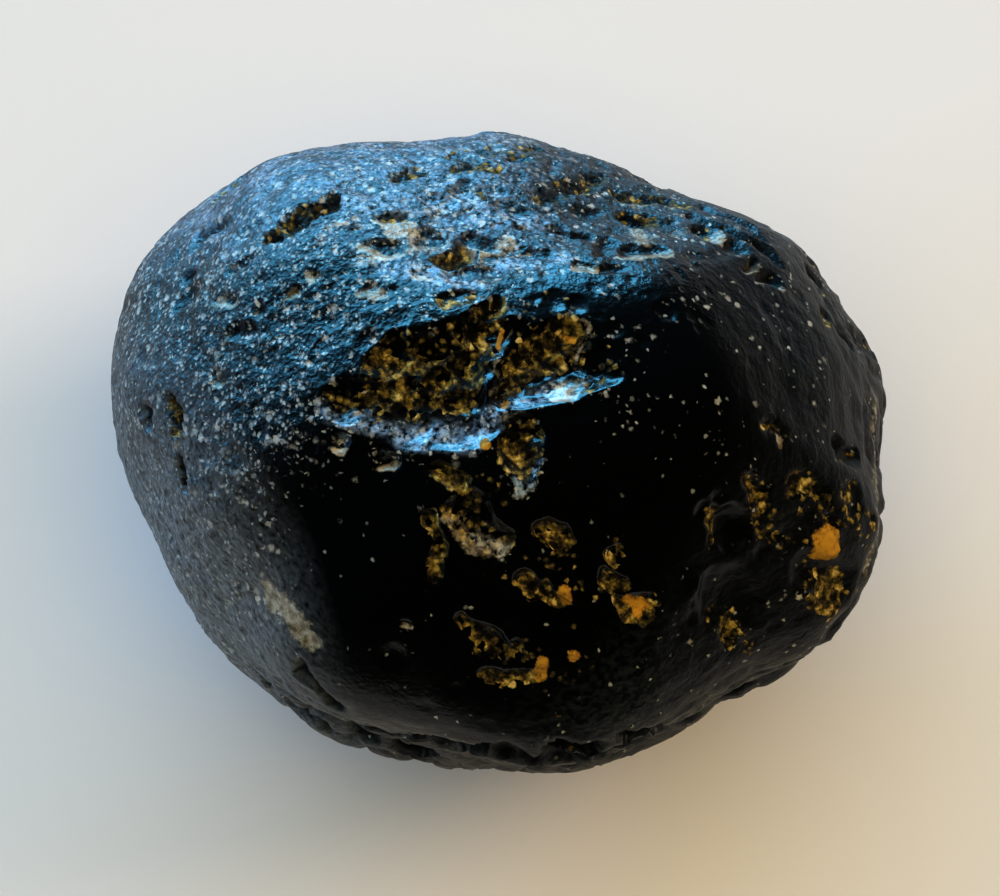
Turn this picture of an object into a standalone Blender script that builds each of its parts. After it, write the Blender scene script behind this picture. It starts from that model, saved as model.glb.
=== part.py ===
"""A tektite: one lump of black natural glass, rounded and pitted, resting on a small flat spot.

The stone is star-shaped about a point inside it. Its surface is therefore one function, the reach:
how far the surface lies from that point in each direction. The reach starts from a rounded hull,
is trimmed by broad flats, swells in gentle waves, and is then cut by scoops, which are the pits,
slots and gouges. A scoop follows a great-circle arc from a start to an end, both given as
(azimuth, elevation) in degrees: azimuth turns from +X towards +Y, elevation rises towards +Z.
Lengths are in millimetres until the mesh is placed.
"""

import bmesh
import bpy
import numpy as np

MM = 0.001

# The hull: a flattened egg with full shoulders.
CENTRE_HEIGHT = 17.7
CROWN = 18.6
BELLY = 18.6
FULLNESS = 2.2
PLAN_STEP_DEG = 15
PLAN_REACH = (
    25.5, 25.9, 25.5, 22.0, 20.3, 20.4, 21.3, 20.3,
    22.5, 26.3, 28.1, 26.6, 25.2, 24.1, 22.9, 22.4,
    21.6, 21.2, 21.2, 21.6, 21.3, 21.8, 25.1, 26.2,
)  # fmt: skip

# The flats: planes that plane off a shoulder. (azimuth, elevation), distance from the centre.
FLAT_SOFTNESS = 0.9
LEAST_FACING = 0.05
FLATS = (
    ((74, 57), 18.4),
    ((154, 36), 23.9),
    ((24, 38), 21.6),
    ((216, 26), 21.8),
    ((300, 48), 19.3),
    ((95, -34), 19.8),
    ((35, -40), 20.4),
    ((160, -38), 22.0),
    ((245, -44), 19.6),
    ((335, -32), 21.8),
)

# The swell: long low waves. (azimuth, elevation) that each runs along, wavelength, height, phase in turns.
SWELLS = (
    ((25, 15), 23.0, 0.34, 0.10),
    ((110, -20), 17.0, 0.26, 0.45),
    ((200, 50), 13.0, 0.20, 0.80),
    ((300, 10), 10.5, 0.15, 0.30),
    ((70, 65), 8.0, 0.10, 0.65),
)

# The crests: start, end, width, height. The first four edge the shelf that runs along the south flank,
# the next two are the rib that parts the great pit, then the rim of a dish, two that swell the flank
# below the shelf, and three broad ones that fill the shoulder behind it.
CRESTS = (
    ((238.5, 18), (255.5, 14.5), 3.5, 1.0),
    ((255.5, 14.5), (273.5, 17), 3.7, 1.3),
    ((273.5, 17), (295, 17), 3.7, 1.3),
    ((295, 17), (320.5, 11.5), 3.4, 0.9),
    ((74, 80.5), (90, 88.5), 0.8, 0.35),
    ((90, 88.5), (247, 83.5), 0.8, 0.35),
    ((316.5, 34.5), (312, 28), 0.9, 0.3),
    ((238, -4), (304, -5), 5.0, 0.45),
    ((314, -1), (322, -4), 2.6, 0.75),
    ((232, 22), (274, 19.5), 9.0, 1.3),
    ((274, 19.5), (296, 18.5), 8.0, 1.3),
    ((296, 18.5), (324, 11.5), 7.0, 1.2),
)

# The scoops: start, end, width, depth, wall. A wall of 1.5 is a funnel, 2 is a bowl, and 3 has steep
# sides and a flatter floor.
GREAT_PIT = (
    ((190, 62), (195, 68), 3.0, 0.9, 1.5),
    ((201, 71.5), (226, 79.5), 5.3, 1.3, 1.5),
    ((324.5, 87), (7, 74.5), 4.8, 1.15, 1.5),
    ((180.5, 72.5), (90, 85.5), 4.0, 1.0, 2),
    ((11.5, 88), (22, 76.5), 3.5, 0.9, 2),
    ((191, 61), (191, 61), 1.6, 0.8, 2),
    ((192.5, 65.5), (194.5, 67.5), 2.5, 1.2, 2),
    ((170.5, 70.5), (175, 72), 2.7, 1.3, 2),
    ((192, 72), (192, 72), 2.4, 1.35, 2),
    ((206, 74), (210, 75), 2.2, 1.35, 2),
    ((164.5, 76), (165, 78.5), 2.2, 1.7, 2),
    ((189.5, 77.5), (192, 78), 2.5, 1.55, 2),
    ((215, 79.5), (218.5, 80), 2.3, 1.4, 2),
    ((185.5, 83), (172, 84), 2.9, 1.6, 2),
    ((131, 83), (117.5, 82), 2.4, 1.4, 2),
    ((101.5, 79), (93.5, 78), 1.7, 0.9, 2),
    ((276, 84.5), (275, 86), 1.8, 1.1, 2),
    ((356, 86.5), (15.5, 85), 2.4, 1.25, 2),
    ((20, 81), (24.5, 79.5), 2.5, 1.25, 2),
    ((27, 75.5), (30, 75), 1.8, 0.9, 2),
    ((8, 78), (11.5, 77), 1.8, 0.9, 2),
    ((352, 72.5), (354.5, 72.5), 1.6, 0.7, 2),
    ((337, 78), (342.5, 76.5), 1.2, 0.3, 2),
    ((125, 74.5), (117.5, 74.5), 1.5, 0.3, 2),
)
SOUTH_PITS = (
    ((286, 76.5), (283.5, 72), 2.8, 0.85, 2),
    ((241, 67.5), (250.5, 67.5), 1.8, 0.6, 2),
    ((256.5, 63.5), (266, 58.5), 2.8, 0.7, 2),
    ((286, 58), (290, 56), 2.0, 0.55, 2),
    ((277, 49), (278, 48), 1.6, 0.5, 2),
    ((282.5, 47), (286, 45), 1.3, 0.4, 2),
    ((300, 45), (301.5, 43), 1.6, 0.5, 2),
    ((299.5, 39.5), (304, 36), 1.8, 0.5, 2),
    ((265.5, 39), (274, 36.5), 1.3, 0.45, 2),
)
EAST_PITS = (
    ((329.5, 37.5), (329.5, 36.5), 2.7, 0.8, 2),
    ((339.5, 39.5), (339.5, 36), 1.2, 0.4, 2),
    ((343.5, 30.5), (344.5, 27.5), 1.6, 0.4, 2),
    ((332.5, 20), (333, 17), 2.8, 0.8, 2),
    ((333.5, 16.5), (330, 15), 1.3, 0.3, 2),
    ((353, 23.5), (354, 20), 1.5, 0.7, 3),
    ((319.5, 27.5), (318.5, 27.5), 4.5, 0.5, 2),
    ((317.5, 23), (314.5, 21), 1.3, 0.4, 2),
    ((347, 22.5), (344.5, 20.5), 1.4, 0.4, 2),
    ((41.5, 31), (39.5, 30.5), 1.4, 0.6, 2),
    ((36, 32), (34.5, 29.5), 1.2, 0.5, 2),
    ((26, 30), (24.5, 27.5), 1.2, 0.5, 2),
    ((18.5, 18), (17, 19), 1.3, 0.5, 2),
    ((15.5, 16), (14, 12.5), 1.3, 0.5, 2),
    ((17, 3), (15, 1), 1.2, 0.4, 2),
)
NORTH_PITS = (
    ((147.5, 39), (145.5, 40.5), 1.4, 0.9, 2),
    ((142, 41), (131, 43), 1.4, 1, 3),
    ((114, 40), (109, 39), 1.4, 0.5, 2),
    ((100, 45), (98.5, 44.5), 1.7, 0.31, 2),
    ((77.5, 41.5), (75.5, 38), 1.8, 0.43, 2),
    ((123, 50.5), (118.5, 50.5), 1.5, 0.37, 2),
    ((132.5, 55), (128.5, 56.5), 1.6, 0.43, 2),
    ((119, 56.5), (115, 56), 1.5, 0.37, 2),
    ((110.5, 63), (105.5, 61), 2.1, 0.9, 2),
    ((113.5, 67.5), (93, 68), 1.7, 0.31, 2),
    ((100, 58.5), (94.5, 59), 1.5, 0.37, 2),
    ((96.5, 64), (84.5, 60), 1.4, 0.25, 2),
    ((81.5, 61.5), (71.5, 60), 1.4, 0.31, 2),
    ((73.5, 37), (69, 28.5), 1.7, 0.5, 2),
    ((62.5, 29), (51, 24.5), 1.2, 0.43, 2),
    ((55.5, 37), (54.5, 34), 1.9, 0.9, 2),
    ((48, 50), (44.5, 45.5), 1.8, 0.37, 2),
    ((54.5, 53.5), (54, 49), 1.5, 0.43, 2),
    ((57.5, 60.5), (53, 59), 1.2, 0.22, 2),
    ((66.5, 41.5), (64.5, 39), 1.5, 0.31, 2),
    ((125.5, 39.5), (123.5, 41.5), 1.7, 0.25, 2),
    ((109, 45.5), (105.5, 47.5), 1.5, 0.22, 2),
    ((89, 48.5), (85, 49), 1.7, 0.25, 2),
    ((108.5, 50.5), (105.5, 52), 1.5, 0.22, 2),
    ((136, 49.5), (134.5, 51), 1.5, 0.22, 2),
)
WEST_PITS = (
    ((181, 28.5), (184.5, 28), 1.3, 0.9, 3),
    ((220.5, 29), (226.5, 29), 1.6, 0.12, 2),
    ((226.5, 29), (233.5, 28.5), 1.6, 0.12, 2),
    ((161, 24.5), (159.5, 27), 2.2, 0.5, 2),
    ((149, 21.5), (146.5, 24.5), 1.8, 0.5, 2),
    ((168.5, 40), (166, 43.5), 1.4, 0.4, 2),
)
SHELF_PITS = (
    ((233, 23), (241.5, 20), 1.3, 0.7, 2),
    ((241.5, 9), (266.5, 16.5), 1.9, 1.1, 2),
    ((270, 16), (293.5, 10), 1.9, 1.1, 2),
    ((252, 2), (257.5, 2), 1.6, 1.5, 2),
    ((243.5, 3), (246, 1.5), 1.3, 1.3, 2),
    ((279, 18), (284.5, 18), 1.6, 1.5, 2),
    ((272, 18), (274, 17), 1.3, 1.3, 2),
    ((290.5, 16.5), (293, 15), 1.3, 1.2, 2),
    ((312.5, 2), (315.5, 2), 1.4, 1.0, 2),
    ((231, 0), (238.5, -1), 1.2, 0.9, 2),
)

# Gouges on the sides that face away and on the underside: longer, shallow worm tracks.
GOUGES = (
    ((100, 22), (72, 12), 2.2, 0.8, 2),
    ((120, 8), (104, -6), 2.4, 0.9, 2),
    ((60, 16), (46, -2), 2.0, 0.7, 2),
    ((84, -8), (60, -16), 2.6, 1.0, 2),
    ((30, 6), (22, -12), 2.2, 0.8, 2),
    ((150, -6), (138, -24), 2.6, 0.9, 2),
    ((176, -10), (190, -22), 2.2, 0.8, 2),
    ((206, -8), (220, -20), 2.4, 0.8, 2),
    ((352, -14), (338, -26), 2.6, 0.9, 2),
    ((300, -22), (280, -30), 2.8, 1.0, 2),
    ((250, -20), (262, -34), 2.6, 0.9, 2),
    ((20, -34), (48, -44), 3.0, 1.1, 2),
    ((110, -40), (92, -52), 2.8, 1.0, 2),
    ((160, -42), (196, -48), 2.8, 1.0, 2),
    ((318, -44), (340, -50), 2.6, 0.9, 2),
)

# The wander: the wavelength over which the outlines of scoops stray to and fro, and how far. Each wave
# is bent by a slower one, so that it doesn't repeat. Lengths hold at the wander radius.
WANDERS = ((3.4, 0.26), (1.7, 0.09))
WANDER_RADIUS = 20.0
BEND_RATE = 0.61
BEND_TURNS = 1.3

# Round pits strewn over the belly and the far side. Heights and the far side's start are shares of the
# way out from the middle, and depth is a share of the width.
STREWN_SEED = 11
STREWN_COUNT = 74
STREWN_WIDTH = (1.4, 4.4)
STREWN_SHRINK = (0.6, 1.0)
STREWN_DEPTH_SHARE = 0.30
STREWN_FAR_SIDE = 0.2
STREWN_HIGHEST = 0.30
FOOT_CLEAR = -0.90

# The mesh: how finely the ball is split, the triangles kept, and the side of the block under the stone.
BALL_SUBDIVISIONS = 8
FACES_KEPT = 9600
GROUND_BLOCK = 80.0

GLASS_COLOUR = (0.012, 0.014, 0.014, 1.0)
GLASS_ROUGHNESS = 0.38
GLASS_IOR = 1.5


def direction(spot):
    """The unit vector that points at a spot, an (azimuth, elevation) in degrees."""
    azimuth, elevation = np.radians(spot)
    flat = np.cos(elevation)
    return np.array([flat * np.cos(azimuth), flat * np.sin(azimuth), np.sin(elevation)])


def plan_reach(azimuth):
    """The outline seen from above: a smooth closed curve through PLAN_REACH (Catmull-Rom)."""
    radii = np.array(PLAN_REACH)
    place = np.degrees(azimuth) / PLAN_STEP_DEG
    first = np.floor(place).astype(int)
    t = place - first
    a, b, c, d = (radii[(first + k) % len(radii)] for k in (-1, 0, 1, 2))
    bend = (2 * a - 5 * b + 4 * c - d) + (3 * b - a - 3 * c + d) * t
    return 0.5 * (2 * b + (c - a) * t + bend * t**2)


def hull_reach(way):
    """The egg: a superellipse in each upright section, between the plan outline and the crown or belly."""
    x, y, z = way.T
    outward = np.hypot(x, y) / plan_reach(np.arctan2(y, x))
    upward = np.abs(z) / np.where(z > 0, CROWN, BELLY)
    reach = (outward**FULLNESS + upward**FULLNESS) ** (-1 / FULLNESS)
    for spot, distance in FLATS:
        towards = np.maximum(way @ direction(spot), LEAST_FACING)
        reach = soft_least(reach, distance / towards)
    return reach


def soft_least(a, b):
    """The smaller of two lengths, rounded where they meet."""
    near = np.maximum(0, 1 - np.abs(a - b) / (4 * FLAT_SOFTNESS))
    return np.minimum(a, b) - FLAT_SOFTNESS * near**2


def swell(points):
    """The sum of long sine waves at points on the hull."""
    height = np.zeros(len(points))
    for spot, wavelength, amount, phase in SWELLS:
        turns = points @ direction(spot) / wavelength + phase
        height += amount * np.sin(2 * np.pi * turns)
    return height


def wandered(way):
    """Directions shifted a little, to and fro, which gives every scoop an uneven outline."""
    shift = np.zeros(way.shape)
    for wavelength, amount in WANDERS:
        turn = 2 * np.pi * WANDER_RADIUS / wavelength * way
        bent = turn + BEND_TURNS * np.sin(BEND_RATE * np.roll(turn, 1, axis=1) + wavelength)
        shift += amount / WANDER_RADIUS * np.sin(np.roll(bent, 2, axis=1))
    strayed = way + shift
    return strayed / np.linalg.norm(strayed, axis=1, keepdims=True)


def arc_share(way, start, end, width):
    """0 on the arc from start to end, 1 at half the width from it, more beyond."""
    a, b = direction(start), direction(end)
    radius = hull_reach(a[None, :])[0]
    span = np.arccos(np.clip(a @ b, -1, 1))
    if span < 1e-4:
        nearest = a[None, :]
    else:
        across = (b - a * (a @ b)) / np.sin(span)
        along = np.clip(np.arctan2(way @ across, way @ a), 0, span)
        nearest = np.outer(np.cos(along), a) + np.outer(np.sin(along), across)
    return np.linalg.norm(way - nearest, axis=1) * radius / (width / 2)


def strewn_pits():
    """Bowls at random places on the belly and the far side, clear of the foot."""
    random = np.random.default_rng(STREWN_SEED)
    pits = []
    while len(pits) < STREWN_COUNT:
        way = random.normal(size=3)
        way /= np.linalg.norm(way)
        width = random.uniform(*STREWN_WIDTH) * random.uniform(*STREWN_SHRINK)
        far_side = way[1] > STREWN_FAR_SIDE and way[2] < STREWN_HIGHEST
        if not (way[2] < 0.0 or far_side) or way[2] < FOOT_CLEAR:
            continue
        spot = (np.degrees(np.arctan2(way[1], way[0])), np.degrees(np.arcsin(way[2])))
        pits.append((spot, spot, width, width * STREWN_DEPTH_SHARE, 2))
    return tuple(pits)


def carved(way):
    """How deep the scoops cut. Where they overlap, the deeper one counts, which leaves sharp cusps."""
    scoops = GREAT_PIT + SOUTH_PITS + EAST_PITS + NORTH_PITS + WEST_PITS + SHELF_PITS
    way = wandered(way)
    depth = np.zeros(len(way))
    for start, end, width, deepest, wall in scoops + GOUGES + strewn_pits():
        share = np.minimum(arc_share(way, start, end, width), 1)
        depth = np.maximum(depth, deepest * (1 - share**wall))
    return depth


def raised(way):
    """How high the crests stand: a bell across each arc, and the highest where they meet."""
    height = np.zeros(len(way))
    for start, end, width, crest in CRESTS:
        height = np.maximum(height, crest * np.exp(-(arc_share(way, start, end, width) ** 2)))
    return height


def stone_points(way):
    """The stone's surface in millimetres, one point for each direction."""
    hull = way * hull_reach(way)[:, None]
    reach = np.linalg.norm(hull, axis=1) + swell(hull) + raised(way) - carved(way)
    return way * reach[:, None] + (0, 0, CENTRE_HEIGHT)


def glass():
    """Black tektite glass with an etched, satin skin."""
    material = bpy.data.materials.new("tektite_glass")
    material.use_nodes = True
    shader = material.node_tree.nodes["Principled BSDF"]
    shader.inputs["Base Color"].default_value = GLASS_COLOUR
    shader.inputs["Roughness"].default_value = GLASS_ROUGHNESS
    shader.inputs["IOR"].default_value = GLASS_IOR
    return material


def add_object(name, mesh):
    thing = bpy.data.objects.new(name, mesh)
    bpy.context.scene.collection.objects.link(thing)
    return thing


def ground_cutter():
    """A block whose top is the ground, which planes the belly off to the flat spot."""
    mesh = bpy.data.meshes.new("ground")
    block = bmesh.new()
    side = GROUND_BLOCK * MM
    bmesh.ops.create_cube(block, size=side)
    bmesh.ops.translate(block, verts=block.verts, vec=(0, 0, -side / 2))
    block.to_mesh(mesh)
    block.free()
    cutter = add_object("ground", mesh)
    cutter.hide_render = True
    cutter.display_type = "WIRE"
    return cutter


def tektite():
    """A fine ball moved out to the stone's surface, then thinned to faces that follow the pits."""
    mesh = bpy.data.meshes.new("tektite")
    ball = bmesh.new()
    bmesh.ops.create_icosphere(ball, subdivisions=BALL_SUBDIVISIONS, radius=1)
    way = np.array([vertex.co for vertex in ball.verts])
    way /= np.linalg.norm(way, axis=1, keepdims=True)
    for vertex, place in zip(ball.verts, stone_points(way) * MM):
        vertex.co = place
    ball.to_mesh(mesh)
    faces = len(ball.faces)
    ball.free()
    mesh.shade_smooth()
    stone = add_object("tektite", mesh)
    stone.data.materials.append(glass())
    thin = stone.modifiers.new("thin", "DECIMATE")
    thin.ratio = FACES_KEPT / faces
    foot = stone.modifiers.new("flat_spot", "BOOLEAN")
    foot.operation = "DIFFERENCE"
    foot.object = ground_cutter()
    return stone


for old in list(bpy.data.objects):
    bpy.data.objects.remove(old)
tektite()
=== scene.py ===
"""The looks of a tektite: one lump of black natural glass, etched all over and pitted.

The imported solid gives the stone's place and size. One piece, the skin, stands for it: the same form
worked out on a finer grid, with the small etch cups, chips, flow ridges and clay lumps that the solid
leaves out. The form is star-shaped about the stone's middle, so the skin is one function, the reach: how
far the surface lies from the middle in each direction. A spot is an (azimuth, elevation) in degrees:
azimuth turns from +X towards +Y, elevation rises towards +Z. Lengths are millimetres until the mesh is
made. South is -Y, towards the viewer.
"""

import bpy
import numpy as np
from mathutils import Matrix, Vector


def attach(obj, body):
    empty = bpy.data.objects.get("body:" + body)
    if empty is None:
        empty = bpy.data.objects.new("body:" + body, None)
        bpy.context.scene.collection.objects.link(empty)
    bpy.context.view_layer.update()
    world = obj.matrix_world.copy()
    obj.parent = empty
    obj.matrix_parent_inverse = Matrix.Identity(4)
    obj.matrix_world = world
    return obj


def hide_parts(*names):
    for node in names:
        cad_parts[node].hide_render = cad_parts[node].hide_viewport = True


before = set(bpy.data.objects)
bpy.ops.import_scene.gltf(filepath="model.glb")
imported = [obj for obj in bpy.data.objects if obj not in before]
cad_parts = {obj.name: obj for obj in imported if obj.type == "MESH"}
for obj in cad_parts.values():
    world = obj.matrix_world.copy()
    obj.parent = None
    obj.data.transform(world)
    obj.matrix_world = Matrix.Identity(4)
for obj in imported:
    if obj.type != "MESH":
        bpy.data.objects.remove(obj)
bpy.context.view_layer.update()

MM = 0.001

# The hull: a flattened egg with full shoulders.
CENTRE_HEIGHT = 17.7
CROWN = 18.6
BELLY = 18.6
FULLNESS = 2.2
PLAN_STEP_DEG = 15
PLAN_REACH = (
    25.5, 25.9, 25.5, 22.0, 20.3, 20.4, 21.3, 20.3,
    22.5, 26.3, 28.1, 26.6, 25.2, 24.1, 22.9, 22.4,
    21.6, 21.2, 21.2, 21.6, 21.3, 21.8, 25.1, 26.2,
)  # fmt: skip

# The flats: planes that cut off a shoulder. (azimuth, elevation), distance from the centre. The least
# facing keeps a plane from cutting the side that it faces away from.
FLAT_SOFTNESS = 0.9
LEAST_FACING = 0.05
FLATS = (
    ((74, 57), 18.4),
    ((154, 36), 23.9),
    ((24, 38), 21.6),
    ((216, 26), 21.8),
    ((300, 48), 19.3),
    ((95, -34), 19.8),
    ((35, -40), 20.4),
    ((160, -38), 22.0),
    ((245, -44), 19.6),
    ((335, -32), 21.8),
)

# The swell: long low waves. (azimuth, elevation) that each runs along, wavelength, height, phase in turns.
SWELLS = (
    ((25, 15), 23.0, 0.34, 0.10),
    ((110, -20), 17.0, 0.26, 0.45),
    ((200, 50), 13.0, 0.20, 0.80),
    ((300, 10), 10.5, 0.15, 0.30),
    ((70, 65), 8.0, 0.10, 0.65),
)

# The crests: start, end, width, height.
CRESTS = (
    ((238.5, 18), (255.5, 14.5), 3.5, 1.0),
    ((255.5, 14.5), (273.5, 17), 3.7, 1.3),
    ((273.5, 17), (295, 17), 3.7, 1.3),
    ((295, 17), (320.5, 11.5), 3.4, 0.9),
    ((74, 80.5), (90, 88.5), 0.8, 0.35),
    ((90, 88.5), (247, 83.5), 0.8, 0.35),
    ((316.5, 34.5), (312, 28), 0.9, 0.3),
    ((238, -4), (304, -5), 5.0, 0.45),
    ((314, -1), (322, -4), 2.6, 0.75),
    ((232, 22), (274, 19.5), 9.0, 1.3),
    ((274, 19.5), (296, 18.5), 8.0, 1.3),
    ((296, 18.5), (324, 11.5), 7.0, 1.2),
)
# The scoops: start, end, width, depth, wall, clay, cream. A wall of 1.5 is a funnel, 2 is a bowl, and 3
# has steep sides and a flatter floor. Clay is the share of the scoop that ochre clay fills, cream how
# thickly pale dust lies on its south side, which faces the window, so that it is also a painted highlight.
GREAT_PIT = (
    ((190, 62), (195, 68), 3.0, 0.9, 1.5, 0.6, 0.2),
    ((201, 71.5), (226, 79.5), 5.3, 1.3, 1.5, 0.3, 0.15),
    ((324.5, 87), (7, 74.5), 4.8, 1.15, 1.5, 0.3, 0.2),
    ((180.5, 72.5), (90, 85.5), 4.0, 1.0, 2, 0.8, 0.0),
    ((11.5, 88), (22, 76.5), 3.5, 0.9, 2, 0.8, 0.0),
    ((191, 61), (191, 61), 1.6, 0.8, 2, 1.0, 0.0),
    ((192.5, 65.5), (194.5, 67.5), 2.5, 1.2, 2, 1.0, 0.0),
    ((170.5, 70.5), (175, 72), 2.7, 1.3, 2, 0.9, 0.0),
    ((192, 72), (192, 72), 2.4, 1.35, 2, 1.0, 0.0),
    ((206, 74), (210, 75), 2.2, 1.35, 2, 0.9, 0.0),
    ((164.5, 76), (165, 78.5), 2.2, 1.7, 2, 0.2, 0.0),
    ((189.5, 77.5), (192, 78), 2.5, 1.55, 2, 0.9, 0.0),
    ((215, 79.5), (218.5, 80), 2.3, 1.4, 2, 0.8, 0.0),
    ((185.5, 83), (172, 84), 2.9, 1.6, 2, 0.9, 0.0),
    ((131, 83), (117.5, 82), 2.4, 1.4, 2, 0.7, 0.0),
    ((101.5, 79), (93.5, 78), 1.7, 0.9, 2, 0.8, 0.0),
    ((276, 84.5), (275, 86), 1.8, 1.1, 2, 1.0, 0.0),
    ((356, 86.5), (15.5, 85), 2.4, 1.25, 2, 1.0, 0.0),
    ((20, 81), (24.5, 79.5), 2.5, 1.25, 2, 1.0, 0.0),
    ((27, 75.5), (30, 75), 1.8, 0.9, 2, 1.0, 0.0),
    ((8, 78), (11.5, 77), 1.8, 0.9, 2, 0.9, 0.0),
    ((352, 72.5), (354.5, 72.5), 1.6, 0.7, 2, 0.6, 0.2),
    ((337, 78), (342.5, 76.5), 1.2, 0.3, 2, 0.0, 1.0),
    ((125, 74.5), (117.5, 74.5), 1.5, 0.3, 2, 0.6, 0.0),
)
SOUTH_PITS = (
    ((286, 76.5), (283.5, 72), 2.8, 0.85, 2, 0.8, 0.2),
    ((241, 67.5), (250.5, 67.5), 1.8, 0.6, 2, 0.9, 0.1),
    ((256.5, 63.5), (266, 58.5), 2.8, 0.7, 2, 0.55, 0.6),
    ((245, 60.5), (253, 50), 1.1, 0.4, 2, 0.75, 0.0),
    ((286, 58), (290, 56), 2.0, 0.55, 2, 0.8, 0.0),
    ((277, 49), (278, 48), 1.6, 0.5, 2, 0.8, 0.0),
    ((282.5, 47), (286, 45), 1.3, 0.4, 2, 0.9, 0.0),
    ((304.5, 50), (303.5, 48), 1.0, 0.4, 2, 0.6, 0.3),
    ((300, 45), (301.5, 43), 1.6, 0.5, 2, 0.8, 0.0),
    ((299.5, 39.5), (304, 36), 1.8, 0.5, 2, 1.0, 0.0),
    ((260, 43.5), (265.5, 39), 1.1, 0.4, 2, 0.6, 0.0),
    ((265.5, 39), (274, 36.5), 1.3, 0.45, 2, 0.6, 0.0),
    ((274.5, 38.5), (275, 36.5), 0.9, 0.35, 2, 0.8, 0.0),
    ((267.5, 32.5), (278, 32), 0.9, 0.35, 2, 0.85, 0.0),
    ((203, 58.5), (206.5, 58), 1.0, 0.3, 2, 0.0, 1.0),
    ((217.5, 63), (220, 64.5), 1.1, 0.35, 2, 0.0, 0.8),
    ((247.5, 40), (248.5, 40), 0.6, 0.2, 2, 0.0, 0.9),
)
EAST_PITS = (
    ((329.5, 37.5), (329.5, 36.5), 2.7, 0.8, 2, 0.0, 0.0),
    ((330, 41), (326, 37), 1.0, 0.3, 2, 1.0, 0.0),
    ((339.5, 39.5), (339.5, 36), 1.2, 0.4, 2, 0.9, 0.0),
    ((337.5, 36), (338, 34), 0.9, 0.3, 2, 0.8, 0.0),
    ((335, 33.5), (333, 28.5), 1.0, 0.35, 2, 0.6, 0.0),
    ((343.5, 30.5), (344.5, 27.5), 1.6, 0.4, 2, 0.85, 0.0),
    ((332.5, 20), (333, 17), 2.8, 0.8, 2, 0.0, 0.0),
    ((333.5, 16.5), (330, 15), 1.3, 0.3, 2, 1.0, 0.0),
    ((328.5, 17.5), (328.5, 16.5), 0.8, 0.2, 2, 1.0, 0.0),
    ((353, 23.5), (354, 20), 1.5, 0.7, 3, 0.2, 0.0),
    ((352, 40), (351.5, 38), 0.7, 0.3, 2, 1.0, 0.0),
    ((351, 36), (351, 35.5), 0.7, 0.2, 2, 0.0, 1.0),
    ((345, 17), (344, 16.5), 1.0, 0.4, 2, 0.9, 0.0),
    ((319.5, 27.5), (318.5, 27.5), 4.5, 0.5, 2, 0.0, 0.0),
    ((317.5, 23), (314.5, 21), 1.3, 0.4, 2, 0.8, 0.0),
    ((341.5, 24.5), (341, 23.5), 1.1, 0.35, 2, 0.8, 0.0),
    ((347, 22.5), (344.5, 20.5), 1.4, 0.4, 2, 0.6, 0.0),
    ((41.5, 31), (39.5, 30.5), 1.4, 0.6, 2, 0.3, 0.9),
    ((47, 27), (35.5, 27.5), 0.8, 0.5, 2, 0.2, 0.0),
    ((36, 32), (34.5, 29.5), 1.2, 0.5, 2, 0.0, 0.5),
    ((30, 32), (30, 29), 1.0, 0.45, 2, 0.5, 0.8),
    ((26, 30), (24.5, 27.5), 1.2, 0.5, 2, 0.0, 0.6),
    ((18.5, 18), (17, 19), 1.3, 0.5, 2, 0.8, 0.2),
    ((15.5, 16), (14, 12.5), 1.3, 0.5, 2, 0.0, 0.2),
    ((17, 3), (15, 1), 1.2, 0.4, 2, 0.0, 0.2),
    ((47.5, 22), (34.5, 23), 0.7, 0.4, 2, 0.0, 0.0),
    ((41, 28), (29, 23.5), 0.7, 0.4, 2, 0.0, 0.0),
)
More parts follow.
